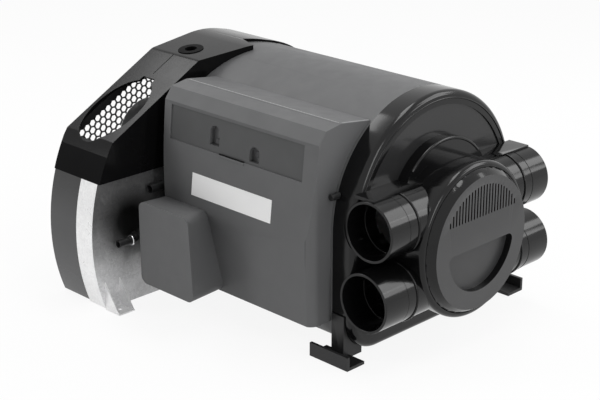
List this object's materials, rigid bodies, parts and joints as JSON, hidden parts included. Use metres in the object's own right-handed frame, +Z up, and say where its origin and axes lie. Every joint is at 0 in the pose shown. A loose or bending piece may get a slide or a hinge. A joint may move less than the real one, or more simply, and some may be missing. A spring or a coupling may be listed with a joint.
{
  "type": "caravan water and warm-air heater",
  "caption": "Caravan water heater that also blows warm air: grey drum with control box, black end cap with duct outlets and round cover, hood with intake grille.",
  "frame": {"origin": "centre of the bounding box's underside, on the floor that the feet and the bulkhead stand on", "axes": "+X towards the end with the round cover, -Y towards the control box, +Z up"},
  "size_m": [0.49, 0.4503, 0.3105],
  "materials": {
    "grey_plastic": "matt mid grey, fine grain",
    "black_gloss": "glossy black",
    "black_satin": "satin black",
    "dark_grey": "dark grey satin",
    "zinc": "zinc-plated sheet with spangle",
    "steel": "plain steel",
    "aluminium": "cast aluminium",
    "brass": "plain",
    "rubber": "matt",
    "label": "bare white",
    "board": "green board",
    "relay": "dark blue",
    "copper": "plain copper"
  },
  "bodies": {
    "heater_body": {"drum_cover": "grey_plastic", "drum_tray": "grey_plastic", "end_cap": "black_gloss", "outlet_sleeve_front_upper": "black_gloss", "outlet_sleeve_front_lower": "black_gloss", "outlet_sleeve_rear_upper": "black_gloss", "outlet_sleeve_rear_lower": "black_gloss", "control_box_cover": "grey_plastic", "control_box_screws": "steel", "label_plate": "label", "connection_cover": "grey_plastic", "bulkhead": "zinc", "hood": "black_gloss", "intake_grille": "black_satin", "cable_grommet": "rubber", "burner_end_cover": "dark_grey", "foot_front": "black_satin", "foot_rear": "black_satin", "cap_studs": "black_satin", "water_tank": "steel", "heating_rods": "steel", "temperature_sensor": "brass", "tank_straps": "zinc", "tank_cradles": "black_satin", "heat_exchanger": "aluminium", "burner_tube": "steel", "burner_seal": "rubber", "burner_flange": "steel", "igniter": "steel", "circulation_fan_motor": "black_satin", "circulation_fan_case": "black_satin", "warm_air_duct": "black_satin", "combustion_fan_motor": "steel", "combustion_fan_case": "aluminium", "combustion_duct": "aluminium", "mixing_chamber": "aluminium", "gas_valve": "brass", "gas_inlet_pipe": "black_satin", "gas_feed_pipe": "copper", "hot_water_outlet": "black_satin", "cold_water_inlet": "black_satin", "pipe_nuts": "steel", "flue_collector": "aluminium", "exhaust_spigot": "aluminium", "combustion_air_spigot": "black_satin", "control_board": "board", "board_spacers": "black_satin", "relays": "relay", "terminal_block": "black_satin"},
    "round_cover": {"round_cover": "black_gloss"},
    "circulation_fan": {"circulation_fan_wheel": "black_satin"},
    "combustion_fan": {"combustion_fan_wheel": "aluminium"}
  },
  "joints": [
    {"name": "cover_turn", "type": "hinge", "parent": "heater_body", "child": "round_cover", "pos_m": [0.245, 0.052, 0.133], "axis": [1, 0, 0], "range_deg": [0, 30]},
    {"name": "circulation_fan_spin", "type": "hinge", "parent": "heater_body", "child": "circulation_fan", "pos_m": [-0.21, -0.07, 0.192], "axis": [1, 0, 0], "continuous": true},
    {"name": "combustion_fan_spin", "type": "hinge", "parent": "heater_body", "child": "combustion_fan", "pos_m": [-0.187, -0.098, 0.085], "axis": [1, 0, 0], "continuous": true}
  ]
}
